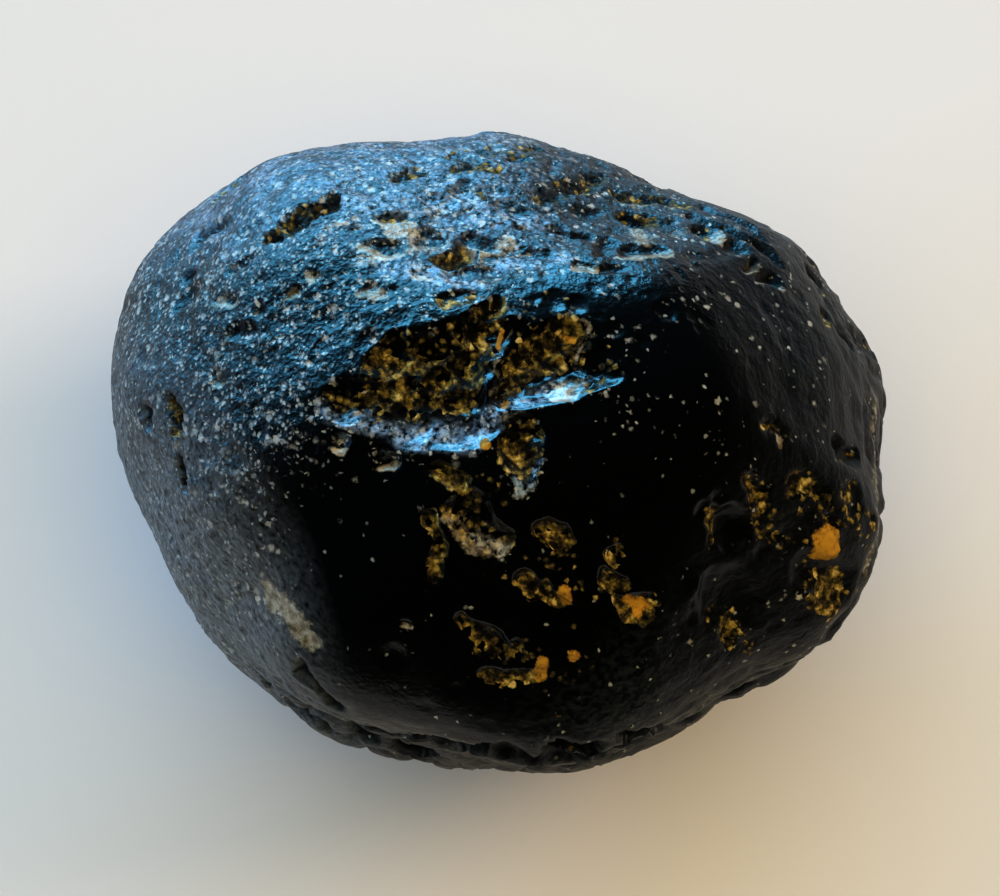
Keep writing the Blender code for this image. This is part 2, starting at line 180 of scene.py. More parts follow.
NORTH_PITS = (
    ((147.5, 39), (145.5, 40.5), 1.4, 0.9, 2, 0.25, 0.0),
    ((142, 41), (131, 43), 1.4, 1, 3, 0.8, 0.0),
    ((114, 40), (109, 39), 1.4, 0.5, 2, 0.8, 0.0),
    ((101.5, 34), (96, 37.5), 1.0, 0.37, 2, 0.6, 0.0),
    ((100.5, 39), (90.5, 38), 0.8, 0.25, 2, 0.8, 0.3),
    ((93.5, 33), (91, 31.5), 0.9, 0.25, 2, 0.6, 0.2),
    ((88.5, 34.5), (86, 32.5), 1.0, 0.31, 2, 0.6, 0.1),
    ((85.5, 28.5), (81.5, 26), 0.9, 0.31, 2, 0.7, 0.3),
    ((100, 45), (98.5, 44.5), 1.7, 0.31, 2, 0, 0.6),
    ((95, 44), (94.5, 45.5), 0.8, 0.19, 2, 1, 0.0),
    ((77.5, 41.5), (75.5, 38), 1.8, 0.43, 2, 0.5, 0.2),
    ((123, 50.5), (118.5, 50.5), 1.5, 0.37, 2, 0.7, 1.0),
    ((132.5, 55), (128.5, 56.5), 1.6, 0.43, 2, 0.1, 1.0),
    ((119, 56.5), (115, 56), 1.5, 0.37, 2, 0.05, 0.8),
    ((128, 64.5), (125.5, 65), 0.9, 0.19, 2, 0.25, 0.9),
    ((145.5, 61.5), (146, 62.5), 1.0, 0.19, 2, 0, 1.0),
    ((141.5, 63.5), (141.5, 64), 0.6, 0.25, 2, 0, 0.0),
    ((110.5, 63), (105.5, 61), 2.1, 0.9, 2, 1, 0.1),
    ((113.5, 67.5), (93, 68), 1.7, 0.31, 2, 0, 0.5),
    ((100, 58.5), (94.5, 59), 1.5, 0.37, 2, 0, 0.7),
    ((96.5, 64), (84.5, 60), 1.4, 0.25, 2, 0, 0.6),
    ((81.5, 61.5), (71.5, 60), 1.4, 0.31, 2, 0, 0.4),
    ((82, 53.5), (79.5, 53.5), 1.0, 0.25, 2, 0, 0.5),
    ((79, 32.5), (77, 30), 1.0, 0.25, 2, 0, 0.0),
    ((73.5, 37), (69, 28.5), 1.7, 0.5, 2, 0.7, 0.3),
    ((62.5, 29), (51, 24.5), 1.2, 0.43, 2, 0.9, 0.5),
    ((55.5, 37), (54.5, 34), 1.9, 0.9, 2, 0.8, 0.0),
    ((51.5, 35), (48, 32), 1.1, 0.37, 2, 0.15, 0.0),
    ((48, 50), (44.5, 45.5), 1.8, 0.37, 2, 0.15, 1.0),
    ((54.5, 53.5), (54, 49), 1.5, 0.43, 2, 0, 0.0),
    ((57.5, 60.5), (53, 59), 1.2, 0.22, 2, 0, 1.0),
    ((48.5, 58.5), (43, 56.5), 1.1, 0.25, 2, 0, 0.2),
    ((74, 51.5), (61.5, 49.5), 1.0, 0.37, 2, 0, 0.0),
    ((66.5, 41.5), (64.5, 39), 1.5, 0.31, 2, 0, 0.5),
    ((125.5, 39.5), (123.5, 41.5), 1.7, 0.25, 2, 0, 0.1),
    ((109, 45.5), (105.5, 47.5), 1.5, 0.22, 2, 0, 0.5),
    ((89, 48.5), (85, 49), 1.7, 0.25, 2, 0, 0.4),
    ((108.5, 50.5), (105.5, 52), 1.5, 0.22, 2, 0, 0.4),
    ((136, 49.5), (134.5, 51), 1.5, 0.22, 2, 0, 0.2),
)
WEST_PITS = (
    ((181, 28.5), (184.5, 28), 1.3, 0.9, 3, 1.0, 0.0),
    ((191.5, 27), (194, 26), 1.0, 1.3, 3, 0.0, 0.3),
    ((179.5, 22.5), (181.5, 22), 0.8, 0.6, 2, 0.0, 0.0),
    ((220.5, 29), (226.5, 29), 1.6, 0.12, 2, 0.0, 0.0),
    ((226.5, 29), (233.5, 28.5), 1.6, 0.12, 2, 0.0, 0.0),
    ((161, 24.5), (159.5, 27), 2.2, 0.5, 2, 0.0, 0.0),
    ((149, 21.5), (146.5, 24.5), 1.8, 0.5, 2, 0.0, 0.0),
    ((158.5, 24), (162, 29), 0.6, 0.3, 2, 0.0, 0.0),
    ((156.5, 24), (155.5, 25.5), 1.0, 0.5, 2, 0.0, 0.0),
    ((154, 35.5), (151.5, 37.5), 0.9, 0.3, 2, 0.0, 0.8),
    ((160.5, 36.5), (161.5, 38.5), 1.1, 0.3, 2, 0.0, 0.9),
    ((150, 50.5), (151, 51.5), 0.9, 0.25, 2, 0.0, 1.0),
    ((158, 48), (155.5, 49.5), 0.9, 0.3, 2, 0.0, 1.0),
    ((176, 38), (178.5, 39), 1.0, 0.25, 2, 0.0, 0.9),
    ((168.5, 40), (166, 43.5), 1.4, 0.4, 2, 0.0, 0.0),
    ((161, 44), (162, 45.5), 0.9, 0.25, 2, 0.0, 0.6),
)
SHELF_PITS = (
    ((233, 23), (241.5, 20), 1.3, 0.7, 2, 0.0, 0.0),
    ((241.5, 9), (266.5, 16.5), 1.9, 1.1, 2, 0.0, 0.0),
    ((270, 16), (293.5, 10), 1.9, 1.1, 2, 0.0, 0.0),
    ((252, 2), (257.5, 2), 1.6, 1.5, 2, 0.1, 0.0),
    ((243.5, 3), (246, 1.5), 1.3, 1.3, 2, 0.1, 0.0),
    ((279, 18), (284.5, 18), 1.6, 1.5, 2, 0.1, 0.0),
    ((272, 18), (274, 17), 1.3, 1.3, 2, 0.1, 0.0),
    ((290.5, 16.5), (293, 15), 1.3, 1.2, 2, 0.1, 0.0),
    ((296, 13.5), (305, 0.5), 1.1, 0.9, 2, 0.0, 0.0),
    ((312.5, 2), (315.5, 2), 1.4, 1.0, 2, 0.0, 0.0),
    ((222, 0), (227, -2), 0.9, 0.8, 2, 0.0, 0.0),
    ((231, 0), (238.5, -1), 1.2, 0.9, 2, 0.0, 0.0),
)
# Lumps of orange clay: start, end, width, height.
ORANGE_LUMPS = (
    ((259, 75.5), (260, 75.5), 0.8, 0.15),
    ((287, 46), (287, 44.5), 1.0, 0.15),
    ((301.5, 39), (304, 36.5), 0.9, 0.15),
    ((302, 36.5), (302, 36), 0.7, 0.15),
    ((285.5, 34.5), (285.5, 34.5), 0.9, 0.15),
    ((279, 34.5), (278, 32), 0.9, 0.15),
    ((338, 22.5), (336.5, 21.5), 1.5, 0.25),
    ((276, 83), (280, 83.5), 0.7, 0.12),
    ((87.5, 82), (94.5, 85), 0.5, 0.12),
    ((29, 74.5), (27, 74), 0.8, 0.12),
)
# Patches of cream dust, of pale specks and of loose clay grains: start, end, width, how dense. Where the
# specks are dense they also lay a painted sheen.
CHALK_PATCHES = (
    ((137, 57.5), (133, 58), 1.6, 0.8),
    ((122.5, 58), (114, 58), 1.9, 0.7),
    ((125, 53.5), (120, 54), 1.6, 0.85),
    ((99.5, 62.5), (87, 58.5), 1.7, 0.7),
    ((52, 41), (47.5, 42.5), 1.7, 0.9),
    ((47.5, 42.5), (43.5, 32.5), 1.4, 0.55),
    ((56, 61), (52.5, 59.5), 1.4, 0.9),
    ((72.5, 38), (70.5, 34), 1.5, 0.5),
    ((61.5, 31), (50.5, 26.5), 1.0, 0.6),
    ((339.5, 79), (349.5, 74), 1.3, 0.75),
    ((14, 74), (29.5, 71), 0.6, 0.7),
    ((78, 83), (251, 84.5), 0.5, 0.6),
    ((221, 29), (224, 30), 2.2, 1.2),
    ((224, 30), (231.5, 29), 2.0, 1.2),
    ((230.5, 29), (233, 28.5), 1.4, 1.1),
    ((18, 3.5), (5.5, 11.5), 1.1, 0.45),
    ((6, 6), (348.5, 13), 1.3, 0.7),
    ((348.5, 13), (338, 12.5), 1.3, 0.65),
    ((336.5, 12), (327.5, 11.5), 1.2, 0.55),
    ((155, 11), (162, 14), 1.2, 0.55),
    ((178, 38), (169.5, 38.5), 1.0, 0.6),
    ((161, 36), (160, 36.5), 1.3, 0.8),
    ((150, 50), (150.5, 51.5), 1.0, 0.8),
    ((158, 48), (155.5, 49), 0.9, 0.8),
    ((187.5, 28.5), (188.5, 27), 0.9, 0.8),
    ((153.5, 28.5), (152.5, 37.5), 1.2, 0.5),
    ((145.5, 61.5), (146, 63.5), 1.0, 0.8),
    ((128, 65), (126.5, 66), 0.9, 0.8),
)
# Dense patches of specks also lay a painted sheen, as on the south wall of the great pit, which faces the
# window.
SPECK_AND_SHEEN_PATCHES = (
    ((133, 60), (107.5, 70.5), 2.6, 0.75),
    ((90, 66), (65, 60.5), 2.1, 0.65),
    ((102.5, 51), (77, 50), 3.5, 0.5),
    ((125, 46), (98.5, 46.5), 3.8, 0.5),
    ((146, 18), (150.5, 33), 2.9, 0.45),
    ((192.5, 58.5), (211, 69), 1.8, 0.75),
    ((212, 68.5), (250, 76), 2.3, 0.8),
    ((249.5, 76.5), (270, 81.5), 1.7, 0.75),
    ((275.5, 82), (338.5, 79.5), 2.3, 0.75),
    ((274, 68.5), (281, 66.5), 0.5, 0.8),
    ((281, 66.5), (295, 70.5), 0.5, 0.8),
    ((352, 70), (339.5, 60), 3.0, 0.17),
    ((202.5, 58.5), (206.5, 58), 1.0, 0.6),
    ((214, 63), (218.5, 64.5), 0.8, 0.55),
    ((262.5, 58), (270, 55), 1.2, 0.5),
    ((25, 49.5), (12.5, 28.5), 4.4, 0.1),
    ((353.5, 53), (326.5, 20.5), 3.7, 0.07),
    ((24.5, 69), (12.5, 63), 2.4, 0.13),
)
GRAIN_PATCHES = (
    ((181, 28.5), (185, 28), 1.0, 1.0),
    ((337, 87), (31.5, 74), 2.4, 1.2),
    ((229.5, 29.5), (233.5, 28.5), 0.9, 0.5),
    ((341.5, 29), (343, 19.5), 2.5, 0.35),
    ((331, 20), (331, 15), 1.9, 0.35),
    ((337, 36.5), (334.5, 26.5), 2.2, 0.28),
    ((239.5, 68.5), (270, 65.5), 2.0, 0.25),
    ((282.5, 53), (295, 42), 3.0, 0.22),
    ((270, 37), (282, 31.5), 2.7, 0.22),
    ((305, 51), (300.5, 41.5), 1.5, 0.25),
    ((96.5, 33), (83.5, 28.5), 1.7, 0.28),
    ((61.5, 29), (48.5, 24), 1.4, 0.28),
    ((315.5, 25.5), (316.5, 19.5), 1.9, 0.25),
)

# Worm tracks on the sides that face away and on the underside.
GOUGES = (
    ((100, 22), (72, 12), 2.2, 0.8, 2, 0.3, 0.0),
    ((120, 8), (104, -6), 2.4, 0.9, 2, 0.5, 0.0),
    ((60, 16), (46, -2), 2.0, 0.7, 2, 0.2, 0.0),
    ((84, -8), (60, -16), 2.6, 1.0, 2, 0.6, 0.0),
    ((30, 6), (22, -12), 2.2, 0.8, 2, 0.3, 0.0),
    ((150, -6), (138, -24), 2.6, 0.9, 2, 0.5, 0.0),
    ((176, -10), (190, -22), 2.2, 0.8, 2, 0.2, 0.0),
    ((206, -8), (220, -20), 2.4, 0.8, 2, 0.4, 0.0),
    ((352, -14), (338, -26), 2.6, 0.9, 2, 0.5, 0.0),
    ((300, -22), (280, -30), 2.8, 1.0, 2, 0.6, 0.0),
    ((250, -20), (262, -34), 2.6, 0.9, 2, 0.3, 0.0),
    ((20, -34), (48, -44), 3.0, 1.1, 2, 0.6, 0.0),
    ((110, -40), (92, -52), 2.8, 1.0, 2, 0.5, 0.0),
    ((160, -42), (196, -48), 2.8, 1.0, 2, 0.4, 0.0),
    ((318, -44), (340, -50), 2.6, 0.9, 2, 0.5, 0.0),
)

# The ribs: the crests that stand clean between the clay of two hollows.
RIBS = CRESTS[4:7]

# The wander: the wavelength over which the outlines of scoops stray to and fro, and how far. Each wave
# is bent by a slower one, so that it doesn't repeat. Lengths hold at the wander radius.
WANDERS = ((3.4, 0.26), (1.7, 0.09))
WANDER_RADIUS = 20.0
BEND_RATE = 0.61
BEND_TURNS = 1.3
RAGGED_SIZE = 0.8
RAGGED_AMOUNT = 0.16

# Round pits strewn over the belly and the far side, where the glass lay in wet soil. Heights and the far
# side's start are shares of the way out from the middle, and depth is a share of the width.
STREWN_SEED = 11
STREWN_COUNT = 74
STREWN_WIDTH = (1.4, 4.4)
STREWN_SHRINK = (0.6, 1.0)
STREWN_DEPTH_SHARE = 0.30
STREWN_FAR_SIDE = 0.2
STREWN_HIGHEST = 0.30
FOOT_CLEAR = -0.90
STREWN_CLAY = 0.45
STREWN_CREAM = 0.3

# Two spots nearer than this, in radians, are one: their scoop is round.
ONE_SPOT = 1e-4

# What lies in a scoop, by its share: 0 on the scoop's arc, 1 at its edge. Clay and cream end beyond the
# edge, where the share (squared for clay) reaches END, and thin out towards it at the rate FADE. Each has
# its LEVEL on the arc, its LEAN, which is how much more lies on the south side, or for shade on the north
# side, and the LEAST that lies anywhere in it. The leans paint light and shade: the north wall faces away
# from the window, so it keeps less clay and its black glass is painted shade; the south wall faces the
# window, so the cream on it is pale dust and a painted highlight.
CLAY_END, CLAY_FADE = 1.25, 2.2
CLAY_LEVEL, CLAY_LEAN, CLAY_LEAST = 0.95, 0.8, 0.35
CREAM_END, CREAM_FADE = 1.4, 3.0
CREAM_LEVEL, CREAM_LEAN = 0.4, 1.4
SHADE_LEVEL, SHADE_LEAN, SHADE_LEAST = 0.7, 1.2, 0.1
# The low rim round a scoop: where it stands, how wide it is, how high, and the depth that it stops at.
RIM_SHARE = 1.12
RIM_WIDTH = 0.16
RIM_HEIGHT = 0.025
RIM_STOPS = 0.02

# The skin's grid: cells along a side of the cube that is blown up to a ball, and how much the
# cells shrink towards +Z, where the stone is looked at most.
SKIN_CELLS = 128
CROWN_ZOOM = 0.55
# The lowest point has no place on the plane that does this. It is known by its height, and the guard
# keeps it from dividing by nothing.
POLE_GUARD = 1e-12
POLE_BELOW = -1 + 1e-9

# Where each random pattern starts in the hash, and how far apart two sizes of cup start.
SALT = {"ragged": 1, "cups": 10, "flow": 40, "lumps": 50, "frost": 60, "chips": 70, "grooves": 90}
SALTS_OF_A_SIZE = 7
# The large odd numbers that the hash multiplies by.
HASH_AXES = (73856093, 19349663, 83492791)
HASH_SALT = 374761393
HASH_MIXES = (1274126177, 668265263)

# Etch cups in the mesh: spacing, radius from and to, depth, share of places that hold one.
ETCH_CUPS = (
    (1.25, 0.45, 1.10, 0.19, 0.80),
    (0.62, 0.25, 0.55, 0.06, 0.90),
)
# The same for the worn rim, where chips broke out of the glass.
CHIPS = (
    (1.9, 0.60, 1.50, 0.42, 0.75),
    (1.0, 0.35, 0.85, 0.16, 0.85),
)
CHIPS_BELOW = 0.38
CHIPS_BLEND = 0.22
# Grooves between the chips: stretch along the flank, and spacing and depth of each size.
GROOVE_STRETCH = (0.45, 0.45, 1.0)
GROOVES = ((1.6, 0.42), (0.8, 0.22))
GROOVE_SHARPNESS = 7
# Flow ridges: a noise stretched along the layers of the glass, and a finer one (how much finer, how high).
FLOW_STRETCH = (0.35, 0.35, 1.0)
FLOW_HEIGHT = 0.07
FLOW_SPACING = 0.9
FLOW_FINER = (2.2, 0.7)
# Lumps of the clay, and a finer noise on them.
CLAY_LUMP = 0.12
CLAY_LUMP_SIZE = 0.5
LUMP_FINER = (2, 0.6)
# Less clay than this leaves the flow ridges bare.
CLAY_TRACE = 0.05
# How much of the wear the etching takes away.
ETCHED_OFF = {"worn": 0.6, "chips": 0.7, "flow": 0.7, "grey": 0.5}

# Where the etching is dense: beyond a plane across the unit ball, (direction, distance), blurred. The
# other marks too start at a height or a distance on the unit ball, and reach their full share a blend on.
FROST_SIDE = np.array([-0.505, 0.770, -0.391])
FROST_EDGE = -0.178
FROST_BLEND = 0.42
FROST_STRAY = 0.10
FROST_PATCH = 4.0
FROST_LEAST = 0.10
WORN_BELOW = 0.48
WORN_EAST = 0.40
WORN_BLEND = 0.30
# The milky haze is also a painted sheen: it lies towards the north, which faces the window, and starts this
# far north on the unit ball.
MILK_AND_SHEEN_FROM = 0.32
MILK_AND_SHEEN_BLEND = 0.30
# The rind lies about its spot, at the west limb, where it is also a painted grazing sheen, and it sheds this
# share of the dust.
RIND_AND_SHEEN_SPOT = (205, 0)
RIND_AND_SHEEN_FROM = 0.70
RIND_AND_SHEEN_BLEND = 0.24
DUST_OFF_RIND_AND_SHEEN = 0.6
# To the east the dust and the milky haze, with its painted sheen, thin out and the worn glass is darker, by
# the shares that follow.
THIN_FROM = -0.05
THIN_BLEND = 0.35
DUST_THINS = 0.7
MILK_AND_SHEEN_THINS = 0.8
EAST_DARK_FROM = 0.36
EAST_DARK_BLEND = 0.2
EAST_DARK = 0.85

# Clay: the height of a rib that stands clear of it, how much of it the deepest shade takes, which leaves the
# black glass as painted shade, and how deep that is, and the slope and the start at which pale dust and
# specks lie in its place.
RIB_CLEARS = 0.22
DEEP_PAINTED_SHADE = 0.3
DEEPEST = 1.3
CHALK_FOR_CLAY = (1.6, 0.2)
SPECKS_FOR_CLAY = (2.2, 0.35)
# What the patches of specks add: dust, and above a least density the milky haze, there a painted sheen.
# Worn glass keeps a trace.
DUST_OF_SPECKS = 1.3
DUST_OF_WORN = 0.03
MILK_AND_SHEEN_OF_SPECKS = 4.6
MILK_AND_SHEEN_LEAST_SPECKS = 0.3
MILK_AND_SHEEN_MOST = 2.2
# The height of a lump at which it is orange throughout.
ORANGE_FULL = 0.15

# The marks that the mesh carries for its material. 0 is none and 1 is full, or above it a thick layer. The
# shade is a depth in millimetres, and the material paints shade with it.
MARKS = ("clay", "cream_and_highlight", "frost", "shade", "orange", "worn", "milk_and_sheen", "rind_and_sheen", "dust", "grey")

# Noises of the material: size of a patch and how many finer octaves it holds.
NOISES = {
    "grit": (0.16, 3.0),
    "haze": (0.40, 3.0),
    "patch": (1.6, 3.0),
    "stray": (0.5, 2.0),
    "clod": (0.7, 4.0),
}
NOISE_ROUGHNESS = 0.6
# Lattices of touching cells: micro-pits, the larger cups and the grains of clay, by their spacing. A real
# micro-pit is 0.2 to 0.4 mm wide. How far the lattices are bent, so that no row of them shows.
CELLS = {"small": 0.27, "large": 0.50, "grain": 0.42}
STRAY = 0.35
# Streaks run along the flanks, as the layers of the glass do.
STREAK_STRETCH = (0.45, 0.45, 1.0)
STREAK_SPACING = 0.24
STREAK_DETAIL = 3.0

# Heights of the relief that is too fine for the mesh.
STREAK_DEPTH = 0.07
CUP_DEPTH = 0.065
MICRO_PIT_DEPTH = 0.05
GRIT_DEPTH = 0.02
GRAIN_DEPTH = 0.06
ETCH_LEAST = 0.18

# How a pattern or a mark becomes an amount: the values that it starts and ends at, and the amount at each.
SPANS = {
    "patchy": (0.35, 0.65, 0.45, 1.55),
    "shaded": (0.08, 0.36, 1.0, 0.14),
    "clumped": (0.38, 0.62, 0.4, 1.5),
    "worn": (0.45, 0.66, 0.0, 0.48),
    "milk_and_sheen": (0.38, 0.64, 0.0, 0.48),
    "rind_and_sheen": (0.28, 0.68, 0.0, 0.86),
    "speck size": (0.0, 1.0, 0.42, 0.78),
    "speck thickness": (0.0, 1.0, 0.20, 0.95),
    "cream_and_highlight": (1.22, 1.72, 0.0, 0.9),
    "mottled": (0.38, 0.60, 0.0, 0.65),
    "grain size": (0.1, 0.9, 0.55, 1.3),
    "creamy clay": (0.25, 0.80, 0.0, 0.5),
    "fresh orange": (0.55, 0.80, 0.0, 1.0),
    "orange": (0.78, 0.94, 0.0, 1.0),
}

# Specks of dust: the cells that hold them, colour, and the share of the cells that do where the mark of
# dust is 0 and 1. How ragged a speck is, and how far beyond and within its size it thins out.
SPECKS = (
    ("small", "#b8bcb0", (0.008, 0.48)),
    ("large", "#c2beae", (0.001, 0.25)),
)
SPECK_RAGGED = 0.7
SPECK_BEYOND = 0.40
SPECK_WITHIN = 0.15
# Cream dust: how much the grit and the haze noise add to its mark, and how much the milky haze lightens it,
# as painted light on the side that faces the window.
CREAM_OF_GRIT = 0.45
CREAM_OF_HAZE = 1.2
MILK_AND_SHEEN_LIGHTENS = 0.6
# Clay: how much of its mark makes every grain be there, and how wide a grain's soft edge is.
GRAINS_OF_CLAY = 1.25
GRAIN_EDGE = 0.45
# The tint of the clay: its start, and what a grain's lot, the clods, the distance from the grain's middle
# and the shade add to it. The tint picks a colour from the ramp. The distance darkens each grain towards
# its edge and the shade darkens the clay in the north of pits: both are painted shade.
TINT_START = -0.22
TINT_OF_LOT = 0.28
TINT_OF_CLODS = 1.7
TINT_OF_DISTANCE = -0.15
TINT_OF_SHADE = -0.07
CLAY_RAMP = ((0.50, "#0d0b06"), (0.66, "#40361a"), (0.84, "#87732f"), (1.0, "#c9b471"))
# The orange lumps: how much lighter they are on top, which leaves their low edges darker as painted shade,
# and how ragged the haze noise makes their edge.
LIGHTER_ON_TOP = 0.25
ORANGE_RAGGED = 0.7

GLASS_BLACK = "#040505"
WORN_GREY = "#46514b"
HAZE_AND_SHEEN_GREY = "#8ba2b2"
RIND_AND_SHEEN_GREY = "#868f90"
DUST_CREAM = "#cfc8b0"
CREAM_SHADE = "#6b5d3d"
CLAY_ORANGE = "#c09330"
CLAY_RUST_AND_SHADE = "#7f5a1e"
SMOOTH_ROUGHNESS = 0.22
ETCHED_ROUGHNESS = 0.42
WORN_ROUGHNESS = 0.46
CLAY_ROUGHNESS = 0.9
GLASS_IOR = 1.5

PAPER_WHITE = "#e8e4dc"
PAPER_ROUGHNESS = 0.9

# The sheet under the stone and the room, in metres. Each light: name, the spot that it stands at, how far
# from the stone's middle, width and height, brightness in red, green and blue, and whether it is mirrored.
SHEET_HALF = 1.5
LIGHTS = (
    ("window", (111, 14), 0.55, (0.72, 0.30), (2.5, 10.1, 16.0), True),
    ("west_window", (160, 12), 0.5, (0.36, 0.28), (0.30, 0.95, 1.7), True),
    ("north_sky", (108, 22), 2.0, (3.1, 1.3), (1.15, 2.6, 5.1), False),
    ("west_sky", (175, 25), 1.0, (0.7, 0.5), (1.2, 2.25, 4.3), False),
    ("east_lamp", (18, 36), 0.9, (0.35, 0.35), (8.5, 6.5, 5.5), False),
    ("ceiling", (0, 88), 1.2, (1.7, 1.7), (1.68, 1.41, 0.77), False),
)
ROOM_GREY = "#8f8f95"
ROOM_STRENGTH = 0.03

# The camera: the spot that it stands at, how far from the stone's middle and its nearest sight in metres,
# and its lens and sensor in millimetres.
CAMERA_SPOT = (-90, 75)
CAMERA_DISTANCE = 0.180
CAMERA_NEAREST = 0.005
LENS = 96.8
SENSOR = 36.0
VIEW_GAMMA = 0.77


def direction(spot):
    """The unit vector that points at a spot."""
    azimuth, elevation = np.radians(spot)
    flat = np.cos(elevation)
    return np.array([flat * np.cos(azimuth), flat * np.sin(azimuth), np.sin(elevation)])


def plan_reach(azimuth):
    """The outline seen from above: a smooth closed curve through PLAN_REACH (Catmull-Rom)."""
    radii = np.array(PLAN_REACH)
    place = np.degrees(azimuth) / PLAN_STEP_DEG
    first = np.floor(place).astype(int)
    t = place - first
    a, b, c, d = (radii[(first + k) % len(radii)] for k in (-1, 0, 1, 2))
    bend = (2 * a - 5 * b + 4 * c - d) + (3 * b - a - 3 * c + d) * t
    return 0.5 * (2 * b + (c - a) * t + bend * t**2)


def soft_least(a, b):
    """The smaller of two lengths, less a softness x (1 - gap / 4 softness)^2 where they nearly meet."""
    near = np.maximum(0, 1 - np.abs(a - b) / (4 * FLAT_SOFTNESS))
    return np.minimum(a, b) - FLAT_SOFTNESS * near**2


def hull_reach(way):
    """The egg: a superellipse in each upright section, between the plan outline and the crown or belly."""
    x, y, z = way.T
    outward = np.hypot(x, y) / plan_reach(np.arctan2(y, x))
    upward = np.abs(z) / np.where(z > 0, CROWN, BELLY)
    reach = (outward**FULLNESS + upward**FULLNESS) ** (-1 / FULLNESS)
    for spot, distance in FLATS:
        towards = np.maximum(way @ direction(spot), LEAST_FACING)
        reach = soft_least(reach, distance / towards)
    return reach


def swell(points):
    """The sum of long sine waves at points on the hull."""
    height = np.zeros(len(points))
    for spot, wavelength, amount, phase in SWELLS:
        turns = points @ direction(spot) / wavelength + phase
        height += amount * np.sin(2 * np.pi * turns)
    return height


def chance(cells, salt):
    """A number from 0 to 1 for each whole-number cell, the same each run (an integer hash)."""
    mixed = cells.astype(np.int64) @ np.array(HASH_AXES) + salt * HASH_SALT
    mixed = (mixed ^ (mixed >> 13)) * HASH_MIXES[0] & 0x7FFFFFFF
    mixed = (mixed ^ (mixed >> 16)) * HASH_MIXES[1] & 0x7FFFFFFF
    return (mixed >> 7 & 0xFFFFFF) / 0xFFFFFF


def noise(points, size, salt):
    """Smooth random heights from -1 to 1, about one bump to each `size`: lattice values blended."""
    place = points / size
    cell = np.floor(place)
    t = place - cell
    t = t * t * (3 - 2 * t)
    total = np.zeros(len(points))
    for corner in np.ndindex(2, 2, 2):
        share = np.prod(np.where(corner, t, 1 - t), axis=1)
        total += share * chance(cell + corner, salt)
    return 2 * total - 1


def wandered(way):
    """Directions shifted a little, to and fro, which gives every scoop an uneven outline.

    The shift is sine waves, each bent by a slower one, and a ragged noise.
    """
    shift = np.zeros(way.shape)
    for wavelength, amount in WANDERS:
        turn = 2 * np.pi * WANDER_RADIUS / wavelength * way
        bent = turn + BEND_TURNS * np.sin(BEND_RATE * np.roll(turn, 1, axis=1) + wavelength)
        shift += amount / WANDER_RADIUS * np.sin(np.roll(bent, 2, axis=1))
    ragged = [noise(WANDER_RADIUS * way, RAGGED_SIZE, SALT["ragged"] + axis) for axis in range(3)]
    shift += RAGGED_AMOUNT / WANDER_RADIUS * np.stack(ragged, axis=1)
    strayed = way + shift
    return strayed / np.linalg.norm(strayed, axis=1, keepdims=True)


def arc_share(way, start, end, width):
    """(share, south): 0 on the arc from start to end, 1 at half the width from it, more beyond.

    South is the part of that share that points to -Y.
    """
    a, b = direction(start), direction(end)
    radius = hull_reach(a[None, :])[0]
    span = np.arccos(np.clip(a @ b, -1, 1))
    if span < ONE_SPOT:
        nearest = a[None, :]
    else:
        across = (b - a * (a @ b)) / np.sin(span)
        along = np.clip(np.arctan2(way @ across, way @ a), 0, span)
        nearest = np.outer(np.cos(along), a) + np.outer(np.sin(along), across)
    off = (way - nearest) * radius / (width / 2)
    return np.linalg.norm(off, axis=1), -off[:, 1]


def strewn_pits():
    """Bowls at random places on the belly and the far side, clear of the foot."""
    random = np.random.default_rng(STREWN_SEED)
    pits = []
    while len(pits) < STREWN_COUNT:
        way = random.normal(size=3)
        way /= np.linalg.norm(way)
        width = random.uniform(*STREWN_WIDTH) * random.uniform(*STREWN_SHRINK)
        far_side = way[1] > STREWN_FAR_SIDE and way[2] < STREWN_HIGHEST
        if not (way[2] < 0.0 or far_side) or way[2] < FOOT_CLEAR:
            continue
        spot = (np.degrees(np.arctan2(way[1], way[0])), np.degrees(np.arcsin(way[2])))
        pits.append((spot, spot, width, width * STREWN_DEPTH_SHARE, 2, STREWN_CLAY, STREWN_CREAM))
    return tuple(pits)


